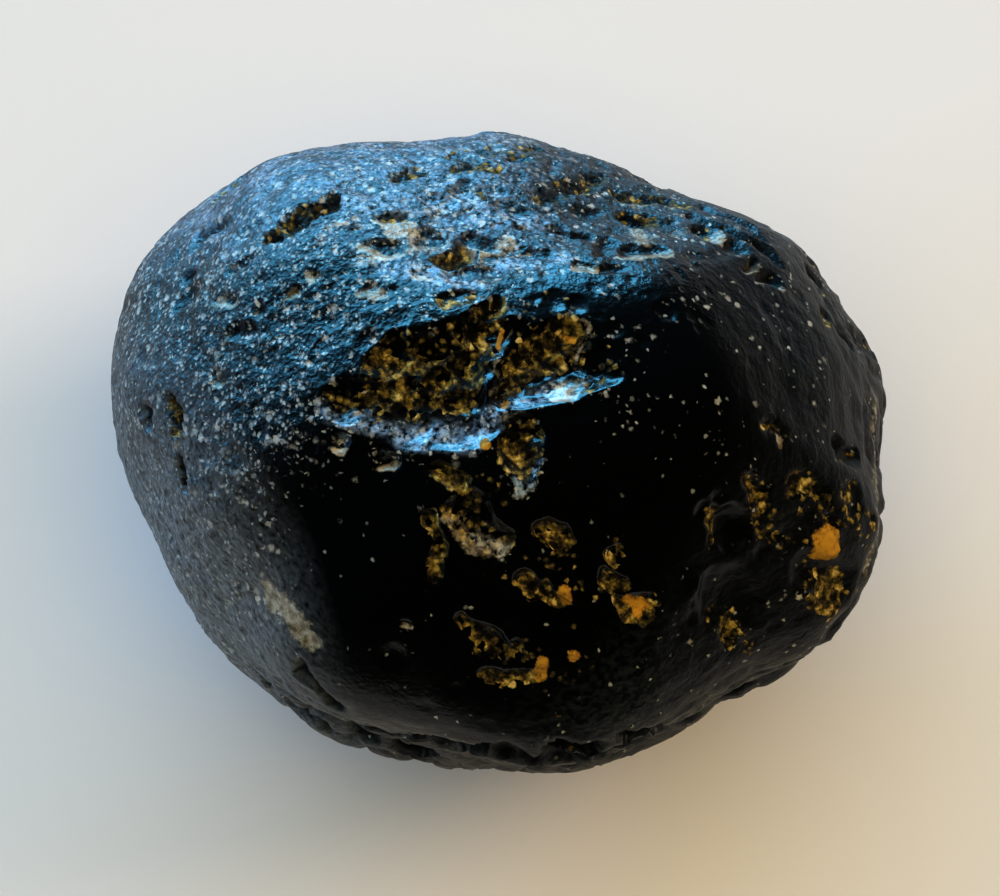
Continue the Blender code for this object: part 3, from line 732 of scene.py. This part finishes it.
def carve(way):
    """(depth, clay, cream, shade, rim) of the scoops; where they overlap the greater counts: cusps stay.

    The depth is the deepest x (1 - share^wall). Shade is the depth on a scoop's north side, where the wall
    faces away from the window; the material paints shade with it. The rim is a bell of the share about the
    scoop's edge.
    """
    scoops = GREAT_PIT + SOUTH_PITS + EAST_PITS + NORTH_PITS + WEST_PITS + SHELF_PITS
    way = wandered(way)
    depth, clay, cream_and_highlight, shade, rim = (np.zeros(len(way)) for _ in range(5))
    for start, end, width, deepest, wall, fill, pale in scoops + GOUGES + strewn_pits():
        share, south = arc_share(way, start, end, width)
        inside = np.minimum(share, 1)
        here = deepest * (1 - inside**wall)
        depth = np.maximum(depth, here)
        # Painted shade: less clay lies on the north side, which faces away from the window, and leaves black
        # glass.
        clay_less_in_shade = np.clip(CLAY_FADE * (CLAY_END - share**2), 0, 1)
        clay_less_in_shade *= np.clip(CLAY_LEVEL + CLAY_LEAN * south, CLAY_LEAST, 1)
        clay = np.maximum(clay, fill * clay_less_in_shade)
        # Painted highlight: more pale dust lies on the south side, which faces the window.
        cream_and_highlight_here = np.clip(CREAM_FADE * (CREAM_END - share), 0, 1)
        cream_and_highlight_here *= np.clip(CREAM_LEVEL + CREAM_LEAN * south, 0, 1)
        cream_and_highlight = np.maximum(cream_and_highlight, pale * cream_and_highlight_here)
        shade = np.maximum(shade, here * np.clip(SHADE_LEVEL - SHADE_LEAN * south, SHADE_LEAST, 1))
        rim = np.maximum(rim, np.exp(-(((share - RIM_SHARE) / RIM_WIDTH) ** 2)) * min(1, deepest))
    return depth, clay, cream_and_highlight, shade, rim


def raised(way, mounds):
    """How high the crests or lumps stand: a bell across each arc, and the highest where they meet."""
    height = np.zeros(len(way))
    for start, end, width, crest in mounds:
        height = np.maximum(height, crest * np.exp(-(arc_share(way, start, end, width)[0] ** 2)))
    return height


def etch_cups(points, spacing, least, most, depth, share, salt):
    """Bowls about random centres, one in each cell of a lattice at most: depth x (1 - (d / r)^2).

    A smaller bowl is shallower in step.
    """
    cell = np.floor(points / spacing)
    cut = np.zeros(len(points))
    for step in np.ndindex(3, 3, 3):
        near = cell + step - 1
        jitter = np.stack([chance(near, salt + k) for k in range(3)], axis=1)
        distance = np.linalg.norm((near + jitter) * spacing - points, axis=1)
        radius = least + (most - least) * chance(near, salt + 3) ** 2
        bowl = np.maximum(0, 1 - (distance / radius) ** 2) * radius / most
        held = chance(near, salt + 4) < share
        cut = np.maximum(cut, depth * bowl * held)
    return cut


def ball_grid():
    """(directions, quads) of a cube blown up to a ball, its cells drawn towards +Z.

    A cube's lattice point at i steps of n lies at tan((i / n - 1/2) pi / 2), which spaces the points
    evenly once they are pushed out to the ball. The pull towards +Z scales the plane that the ball is
    projected on from its lowest point, and projects it back, which keeps the cells' shapes.
    """
    n = SKIN_CELLS
    u, v = np.meshgrid(np.arange(n + 1), np.arange(n + 1), indexing="ij")
    keys, quads = [], []
    corner = np.arange((n + 1) ** 2).reshape(n + 1, n + 1)
    loop = (corner[:-1, :-1], corner[1:, :-1], corner[1:, 1:], corner[:-1, 1:])
    square = np.stack([part.ravel() for part in loop], axis=1)
    for axis in range(3):
        for end in (0, n):
            key = np.empty((u.size, 3), dtype=int)
            key[:, axis] = end
            key[:, (axis + 1) % 3] = u.ravel()
            key[:, (axis + 2) % 3] = v.ravel()
            quads.append((square if end else square[:, ::-1]) + len(keys) * u.size)
            keys.append(key)
    points, index = np.unique(np.concatenate(keys), axis=0, return_inverse=True)
    ball = np.tan((points / n - 0.5) * np.pi / 2)
    ball /= np.linalg.norm(ball, axis=1, keepdims=True)
    flat = CROWN_ZOOM * ball[:, :2] / (1 + ball[:, 2:] + POLE_GUARD)
    spread = (flat**2).sum(axis=1)
    lowest = ball[:, 2] < POLE_BELOW
    way = np.stack([2 * flat[:, 0], 2 * flat[:, 1], 1 - spread], axis=1) / (1 + spread)[:, None]
    way[lowest] = (0, 0, -1)
    return way, index.reshape(-1)[np.concatenate(quads)]


def past(value, start, blend):
    """How far a value is past its start, as a share of the blend: 0 up to the start, 1 from its end."""
    return np.clip((value - start) / blend, 0, 1)


def frosting(way):
    """How densely the glass is etched, 0 to 1: a plane parts the frosted north-west from the rest."""
    patchy = FROST_STRAY * noise(WANDER_RADIUS * way, FROST_PATCH, SALT["frost"])
    t = np.clip((way @ FROST_SIDE - FROST_EDGE + patchy) / FROST_BLEND + 0.5, 0, 1)
    return t * t * (3 - 2 * t)


def cut_by_wear(way, hull, frost):
    """(depth, grooves): etch cups all over, and chips and grooves on the lower flanks, added up.

    A groove is sharp: its depth x (1 - |noise|)^sharpness, so it runs where the noise crosses zero.
    """
    cut = np.zeros(len(way))
    for number, (spacing, least, most, deep, share) in enumerate(ETCH_CUPS):
        held = share * (FROST_LEAST + (1 - FROST_LEAST) * frost)
        salt = SALT["cups"] + SALTS_OF_A_SIZE * number
        cut += etch_cups(hull, spacing, least, most, deep, held, salt)
    chipped = past(CHIPS_BELOW, way[:, 2], CHIPS_BLEND) * (1 - ETCHED_OFF["chips"] * frost)
    strayed = wandered(way) * WANDER_RADIUS
    for number, (spacing, least, most, deep, share) in enumerate(CHIPS):
        salt = SALT["chips"] + SALTS_OF_A_SIZE * number
        cut += chipped * etch_cups(strayed, spacing, least, most, deep, share, salt)
    grooves = np.zeros(len(way))
    for number, (spacing, deep) in enumerate(GROOVES):
        along = noise(hull * GROOVE_STRETCH, spacing, SALT["grooves"] + number)
        grooves = np.maximum(grooves, deep * chipped * (1 - np.abs(along)) ** GROOVE_SHARPNESS)
    return cut + grooves, grooves


def two_noises(points, size, finer, salt):
    """A noise, and a finer one added to it: finer is how many times finer it is, and its share."""
    return noise(points, size, salt) + finer[1] * noise(points, size / finer[0], salt + 1)


def dirt_and_wear(way, frost, worn, clay, cream_and_highlight, shade):
    """(clay, cream, milk, rind, dust, grey): the dirt and the wear that lie on the stone, each a mark, and
    the
    painted light and shade among them: a highlight in the cream, a sheen in the milky haze and the rind, and
    shade where the deepest shade takes the clay.

    Where two kinds meet, the one that lies on top takes its share from the one below: dust from clay,
    and the rind and the thin east from dust.
    """
    strayed = wandered(way)
    rind_and_sheen = past(way @ direction(RIND_AND_SHEEN_SPOT), RIND_AND_SHEEN_FROM, RIND_AND_SHEEN_BLEND)
    thin = past(way[:, 0], THIN_FROM, THIN_BLEND)
    specks_and_sheen = raised(strayed, SPECK_AND_SHEEN_PATCHES)
    chalk = np.minimum(raised(strayed, CHALK_PATCHES), 1)

    clay = clay * np.clip(1 - raised(way, RIBS) / RIB_CLEARS, 0, 1)
    # Painted shade: the deepest shade takes clay away and leaves the black glass bare.
    clay *= 1 - DEEP_PAINTED_SHADE * np.clip(shade / DEEPEST, 0, 1)
    clay = np.maximum(clay, np.minimum(raised(way, GRAIN_PATCHES), 1))
    for cover, (slope, start) in ((chalk, CHALK_FOR_CLAY), (specks_and_sheen, SPECKS_FOR_CLAY)):
        clay *= 1 - np.clip(slope * cover - start, 0, 1)

    dust = frost * (1 - DUST_OFF_RIND_AND_SHEEN * rind_and_sheen) * (1 - DUST_THINS * thin)
    dust = np.maximum(np.maximum(dust, DUST_OF_WORN * worn), DUST_OF_SPECKS * specks_and_sheen)
    # Painted sheen: the milky haze lies thickest on the north side, which faces the window.
    milk_and_sheen = frost * past(way[:, 1], MILK_AND_SHEEN_FROM, MILK_AND_SHEEN_BLEND) * (1 - MILK_AND_SHEEN_THINS * thin)
    milk_and_sheen += MILK_AND_SHEEN_OF_SPECKS * np.maximum(specks_and_sheen - MILK_AND_SHEEN_LEAST_SPECKS, 0)
    grey = worn * (1 - ETCHED_OFF["grey"] * frost)
    grey *= 1 - EAST_DARK * past(way[:, 0], EAST_DARK_FROM, EAST_DARK_BLEND)
    return clay, np.maximum(cream_and_highlight, chalk), np.clip(milk_and_sheen, 0, MILK_AND_SHEEN_MOST), rind_and_sheen, dust, grey


def skin_surface(way):
    """(points in millimetres, marks): the stone's surface in each direction, and what lies on it.

    The reach is the hull's, plus the swell, crests, relief and orange lumps, less the depth of the scoops.
    The foot is cut flat at height 0.
    """
    hull = way * hull_reach(way)[:, None]
    depth, clay, cream_and_highlight, shade, rim = carve(way)
    frost = frosting(way)
    cut, grooves = cut_by_wear(way, hull, frost)
    # Painted shade: the grooves join the shade mark, which darkens them in the material.
    shade = np.maximum(shade, grooves)
    worn = past(WORN_BELOW + WORN_EAST * np.maximum(way[:, 0], 0), way[:, 2], WORN_BLEND)
    worn *= 1 - ETCHED_OFF["worn"] * frost
    flow = two_noises(hull * FLOW_STRETCH, FLOW_SPACING, FLOW_FINER, SALT["flow"])
    flow *= worn * (1 - ETCHED_OFF["flow"] * frost)
    lumps = two_noises(hull, CLAY_LUMP_SIZE, LUMP_FINER, SALT["lumps"])
    relief = FLOW_HEIGHT * flow * (clay < CLAY_TRACE) - cut * (1 - clay) + CLAY_LUMP * lumps * clay
    relief += RIM_HEIGHT * rim * (depth < RIM_STOPS)
    orange = raised(way, ORANGE_LUMPS)
    reach = np.linalg.norm(hull, axis=1) + swell(hull) + raised(way, CRESTS) - depth + relief + orange
    points = way * reach[:, None] + (0, 0, CENTRE_HEIGHT)
    points[:, 2] = np.maximum(points[:, 2], 0)
    clay, cream_and_highlight, milk_and_sheen, rind_and_sheen, dust, grey = dirt_and_wear(way, frost, worn, clay, cream_and_highlight, shade)
    values = (clay, cream_and_highlight, frost, shade, orange / ORANGE_FULL, worn, milk_and_sheen, rind_and_sheen, dust, grey)
    return points, dict(zip(MARKS, values))


def skin():
    """The stone's surface as one closed mesh."""
    way, quads = ball_grid()
    points, marks = skin_surface(way)
    mesh = bpy.data.meshes.new("tektite_skin")
    mesh.from_pydata(points * MM, [], quads.tolist())
    for name, values in marks.items():
        layer = mesh.attributes.new(name, "FLOAT", "POINT")
        layer.data.foreach_set("value", values.astype(np.float32))
    mesh.shade_smooth()
    piece = bpy.data.objects.new("tektite_skin", mesh)
    bpy.context.scene.collection.objects.link(piece)
    return piece


def linear(hex_colour):
    """A colour written as sRGB hex, as the linear red, green, blue and alpha that shaders take."""
    parts = np.array([int(hex_colour[i : i + 2], 16) / 255 for i in (1, 3, 5)])
    bright = np.where(parts <= 0.04045, parts / 12.92, ((parts + 0.055) / 1.055) ** 2.4)
    return (*bright.tolist(), 1.0)


def add(tree, kind, inputs, **settings):
    """Adds a node with its settings and inputs, which give each socket a value, a socket or a node."""
    node = tree.nodes.new(kind)
    for name, value in settings.items():
        setattr(node, name, value)
    for socket, value in inputs.items():
        if isinstance(value, bpy.types.Node):
            value = next(output for output in value.outputs if output.enabled)
        if isinstance(value, bpy.types.NodeSocket):
            tree.links.new(value, node.inputs[socket])
        else:
            node.inputs[socket].default_value = value
    return node


# A socket with no name of its own goes by its number. In a range 0 is the value, 1 and 2 are where it
# starts and ends, and 3 and 4 the amounts there. In a mix 0 is the share, and 6 and 7 are the colours.
MATH = "ShaderNodeMath"
RANGE = "ShaderNodeMapRange"
MIX = "ShaderNodeMix"


def etched_glass():
    """Natural black glass, etched by soil acids: touching cups that each catch a glint, and pale dust.

    Its colours also hold painted shade in the pits and a painted sheen on the side that faces the window.
    """
    material = bpy.data.materials.new("etched_black_tektite_glass")
    material.use_nodes = True
    tree = material.node_tree
    tree.nodes.clear()
    span = {name: dict(enumerate(ends, 1)) for name, ends in SPANS.items()}
    place = add(tree, "ShaderNodeTexCoord", {}).outputs["Object"]
    in_mm = add(tree, "ShaderNodeVectorMath", {0: place, "Scale": 1 / MM}, operation="SCALE")
    mark, noises, cells, lots = {}, {}, {}, {}
    for name in MARKS:
        mark[name] = add(tree, "ShaderNodeAttribute", {}, attribute_name=name).outputs["Fac"]
    for name, (size, detail) in NOISES.items():
        inputs = {"Vector": in_mm, "Scale": 1 / size, "Detail": detail, "Roughness": NOISE_ROUGHNESS}
        noises[name] = add(tree, "ShaderNodeTexNoise", inputs).outputs
    grit, haze, clod, patch = (noises[name]["Fac"] for name in ("grit", "haze", "clod", "patch"))

    bend = {0: noises["stray"]["Color"], 1: (STRAY,) * 3, 2: in_mm}
    bent = add(tree, "ShaderNodeVectorMath", bend, operation="MULTIPLY_ADD")
    for name, spacing in CELLS.items():
        cells[name] = add(tree, "ShaderNodeTexVoronoi", {"Vector": bent, "Scale": 1 / spacing}).outputs
        lots[name] = add(tree, "ShaderNodeSeparateColor", {"Color": cells[name]["Color"]}).outputs
    long_way = add(tree, "ShaderNodeVectorMath", {0: bent, 1: STREAK_STRETCH}, operation="MULTIPLY")
    inputs = {"Vector": long_way, "Scale": 1 / STREAK_SPACING, "Detail": STREAK_DETAIL}
    streaks = add(tree, "ShaderNodeTexNoise", inputs).outputs["Fac"]
    patchy = add(tree, RANGE, {0: patch, **span["patchy"]})
    # Painted shade: where the shade mark is deep, the films and the dust thin out and the black glass shows.
    shaded = add(tree, RANGE, {0: mark["shade"], **span["shaded"]})
    clumped = add(tree, RANGE, {0: clod, **span["clumped"]})

    # Films over the black glass, each upon the one before: scuffs; milky haze, which is also a painted sheen
    # on the side that faces the window; and the weathered rind, which is also a painted grazing sheen at the
    # west
    # limb. The shade mark thins each of them: painted shade.
    films = (
        (streaks, span["worn"], WORN_GREY, (mark["grey"], shaded)),
        (haze, span["milk_and_sheen"], HAZE_AND_SHEEN_GREY, (mark["milk_and_sheen"], shaded, patchy)),
        (streaks, span["rind_and_sheen"], RIND_AND_SHEEN_GREY, (mark["rind_and_sheen"], shaded)),
    )
    colour = linear(GLASS_BLACK)
    for pattern, ends, film, factors in films:
        cover = add(tree, RANGE, {0: pattern, **ends})
        for factor in factors:
            cover = add(tree, MATH, {0: cover, 1: factor}, operation="MULTIPLY")
        colour = add(tree, MIX, {0: cover, 6: colour, 7: linear(film)}, data_type="RGBA")

    # Dust sits in some of the pits only: in more of them where the etching is dense, and in patches. The
    # shade mark leaves less of it on the north walls of pits: painted shade.
    uneven = patchy
    for factor in (shaded, clumped):
        uneven = add(tree, MATH, {0: uneven, 1: factor}, operation="MULTIPLY")
    for name, dust, (thin, dense) in SPECKS:
        share = add(tree, RANGE, {0: mark["dust"], 3: thin, 4: dense})
        share = add(tree, MATH, {0: share, 1: uneven}, operation="MULTIPLY")
        chosen = add(tree, MATH, {0: lots[name][0], 1: share}, operation="LESS_THAN")
        size = add(tree, RANGE, {0: lots[name][1], **span["speck size"]})
        edge = add(tree, MATH, {0: size, 1: SPECK_BEYOND}, operation="ADD")
        core = add(tree, MATH, {0: size, 1: SPECK_WITHIN}, operation="SUBTRACT")
        inputs = {0: grit, 1: SPECK_RAGGED, 2: cells[name]["Distance"]}
        distance = add(tree, MATH, inputs, operation="MULTIPLY_ADD")
        within = add(tree, RANGE, {0: distance, 1: edge, 2: core}, interpolation_type="SMOOTHSTEP")
        cover = add(tree, RANGE, {0: lots[name][2], **span["speck thickness"]})
        for factor in (within, chosen):
            cover = add(tree, MATH, {0: cover, 1: factor}, operation="MULTIPLY")
        colour = add(tree, MIX, {0: cover, 6: colour, 7: linear(dust)}, data_type="RGBA")

    # Cream dust lies thick on the south side of some pits, where it is also a painted highlight, and in
    # patches; it is lightest in the milky haze, as painted light.
    cream_and_highlight = mark["cream_and_highlight"]
    for pattern, slope in ((grit, CREAM_OF_GRIT), (haze, CREAM_OF_HAZE)):
        cream_and_highlight = add(tree, MATH, {0: pattern, 1: slope, 2: cream_and_highlight}, operation="MULTIPLY_ADD")
    cream_and_highlight = add(tree, RANGE, {0: cream_and_highlight, **span["cream_and_highlight"]}, interpolation_type="SMOOTHSTEP")
    light = add(tree, RANGE, {0: clod, **span["mottled"]})
    light = add(tree, MATH, {0: mark["milk_and_sheen"], 1: MILK_AND_SHEEN_LIGHTENS, 2: light}, operation="MULTIPLY_ADD")
    inputs = {0: light, 6: linear(CREAM_SHADE), 7: linear(DUST_CREAM)}
    cream_colour = add(tree, MIX, inputs, data_type="RGBA")
    colour = add(tree, MIX, {0: cream_and_highlight, 6: colour, 7: cream_colour}, data_type="RGBA")

    # Clay is grains: each has one tint by lot, and there are as many as the mark says.
    distance = cells["grain"]["Distance"]
    limit = add(tree, MATH, {0: mark["clay"], 1: GRAINS_OF_CLAY}, operation="MULTIPLY")
    chosen = add(tree, MATH, {0: lots["grain"][0], 1: limit}, operation="LESS_THAN")
    edge = add(tree, RANGE, {0: mark["clay"], **span["grain size"]})
    core = add(tree, MATH, {0: edge, 1: GRAIN_EDGE}, operation="SUBTRACT")
    within = add(tree, RANGE, {0: distance, 1: edge, 2: core}, interpolation_type="SMOOTHSTEP")
    clay = add(tree, MATH, {0: within, 1: chosen}, operation="MULTIPLY")
    # Painted shade: the tint falls towards each grain's edge and where the shade mark is deep.
    tint = TINT_START
    parts = (
        (lots["grain"][1], TINT_OF_LOT),
        (clod, TINT_OF_CLODS),
        (distance, TINT_OF_DISTANCE),
        (mark["shade"], TINT_OF_SHADE),
    )
    for part, slope in parts:
        tint = add(tree, MATH, {0: part, 1: slope, 2: tint}, operation="MULTIPLY_ADD")
    clay_colour = add(tree, "ShaderNodeValToRGB", {"Fac": tint})
    ends = clay_colour.color_ramp.elements
    ends[0].position, ends[1].position = CLAY_RAMP[0][0], CLAY_RAMP[-1][0]
    ends[0].color, ends[1].color = linear(CLAY_RAMP[0][1]), linear(CLAY_RAMP[-1][1])
    for position, shade in CLAY_RAMP[1:-1]:
        ends.new(position).color = linear(shade)
    creamy = add(tree, RANGE, {0: mark["cream_and_highlight"], **span["creamy clay"]})
    inputs = {0: creamy, 6: clay_colour.outputs["Color"], 7: cream_colour}
    clay_colour = add(tree, MIX, inputs, data_type="RGBA")
    colour = add(tree, MIX, {0: clay, 6: colour, 7: clay_colour}, data_type="RGBA")

    # The orange lumps: rusty where the haze noise runs low, and darker towards their low edges: painted
    # shade.
    lighter = add(tree, MATH, {0: mark["orange"], 1: LIGHTER_ON_TOP, 2: haze}, operation="MULTIPLY_ADD")
    lighter = add(tree, RANGE, {0: lighter, **span["fresh orange"]})
    inputs = {0: lighter, 6: linear(CLAY_RUST_AND_SHADE), 7: linear(CLAY_ORANGE)}
    lump_colour = add(tree, MIX, inputs, data_type="RGBA")
    orange = add(tree, MATH, {0: haze, 1: ORANGE_RAGGED, 2: mark["orange"]}, operation="MULTIPLY_ADD")
    orange = add(tree, RANGE, {0: orange, **span["orange"]})
    colour = add(tree, MIX, {0: orange, 6: colour, 7: lump_colour}, data_type="RGBA")
    clay = add(tree, MATH, {0: clay, 1: orange}, operation="MAXIMUM")

    # The relief: streaks on worn glass, cups, pits in the cups, and grit, all shallow where the glass is not
    # etched, and the grains of clay, which stand proud.
    etched = add(tree, RANGE, {0: mark["frost"], 3: ETCH_LEAST, 4: 1.0})
    reliefs = (
        (streaks, STREAK_DEPTH, mark["worn"]),
        (cells["large"]["Distance"], CUP_DEPTH, etched),
        (cells["small"]["Distance"], MICRO_PIT_DEPTH, etched),
        (grit, GRIT_DEPTH, etched),
        (cells["grain"]["Distance"], -GRAIN_DEPTH, clay),
    )
    normal = None
    for height, depth, strength in reliefs:
        inputs = {"Strength": strength, "Distance": abs(depth) * MM, "Height": height}
        if normal:
            inputs["Normal"] = normal
        normal = add(tree, "ShaderNodeBump", inputs, invert=depth < 0)

    glass = add(tree, RANGE, {0: mark["frost"], 3: SMOOTH_ROUGHNESS, 4: ETCHED_ROUGHNESS})
    glass = add(tree, RANGE, {0: mark["worn"], 3: glass, 4: WORN_ROUGHNESS})
    roughness = add(tree, RANGE, {0: clay, 3: glass, 4: CLAY_ROUGHNESS})
    inputs = {"Base Color": colour, "Roughness": roughness, "IOR": GLASS_IOR, "Normal": normal}
    shader = add(tree, "ShaderNodeBsdfPrincipled", inputs)
    add(tree, "ShaderNodeOutputMaterial", {"Surface": shader})
    return material


def matt_paper():
    """Uncoated paper: no gloss, so it shows soft shadows and no glints."""
    material = bpy.data.materials.new("matt_paper")
    material.use_nodes = True
    shader = material.node_tree.nodes["Principled BSDF"]
    shader.inputs["Base Color"].default_value = linear(PAPER_WHITE)
    shader.inputs["Roughness"].default_value = PAPER_ROUGHNESS
    return material


def floor():
    """A pale sheet that the stone lies on."""
    mesh = bpy.data.meshes.new("floor")
    corners = [(SHEET_HALF * x, SHEET_HALF * y, 0) for x, y in ((-1, -1), (1, -1), (1, 1), (-1, 1))]
    mesh.from_pydata(corners, [], [(0, 1, 2, 3)])
    sheet = bpy.data.objects.new("floor", mesh)
    bpy.context.scene.collection.objects.link(sheet)
    sheet.data.materials.append(matt_paper())


def soft_light(name, spot, distance, size, radiance, mirrored):
    """A lamp that faces the stone from a spot. Radiance is its brightness in red, green and blue.

    A mirrored lamp shows in the glass only; any other one lights the matt surfaces only.
    """
    data = bpy.data.lights.new(name, "AREA")
    data.shape = "RECTANGLE"
    data.size, data.size_y = size
    brightest = max(radiance)
    data.energy = np.pi * size[0] * size[1] * brightest
    data.color = [part / brightest for part in radiance]
    lamp = bpy.data.objects.new(name, data)
    bpy.context.scene.collection.objects.link(lamp)
    towards = Vector(direction(spot))
    lamp.location = Vector((0, 0, CENTRE_HEIGHT * MM)) + towards * distance
    lamp.rotation_euler = towards.to_track_quat("Z", "Y").to_euler()
    lamp.visible_glossy = mirrored
    lamp.visible_diffuse = not mirrored
    lamp.visible_camera = False


def light_the_room():
    """A wide window to the north under a blue sky, a weaker one to the west, a warm lamp and ceiling."""
    for light in LIGHTS:
        soft_light(*light)
    world = bpy.data.worlds.new("dim_room")
    bpy.context.scene.world = world
    world.use_nodes = True
    background = world.node_tree.nodes["Background"]
    background.inputs["Color"].default_value = linear(ROOM_GREY)
    background.inputs["Strength"].default_value = ROOM_STRENGTH


def camera():
    """Steeply down on the stone from its south side."""
    data = bpy.data.cameras.new("camera")
    data.lens = LENS
    data.sensor_width = SENSOR
    data.clip_start = CAMERA_NEAREST
    eye = bpy.data.objects.new("camera", data)
    bpy.context.scene.collection.objects.link(eye)
    back = Vector(direction(CAMERA_SPOT))
    eye.location = Vector((0, 0, CENTRE_HEIGHT * MM)) + back * CAMERA_DISTANCE
    eye.rotation_euler = back.to_track_quat("Z", "Y").to_euler()
    bpy.context.scene.camera = eye


stone = skin()
stone.data.materials.append(etched_glass())
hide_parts("tektite")
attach(stone, "root")
floor()
light_the_room()
camera()
bpy.context.scene.view_settings.view_transform = "Standard"
bpy.context.scene.view_settings.gamma = VIEW_GAMMA
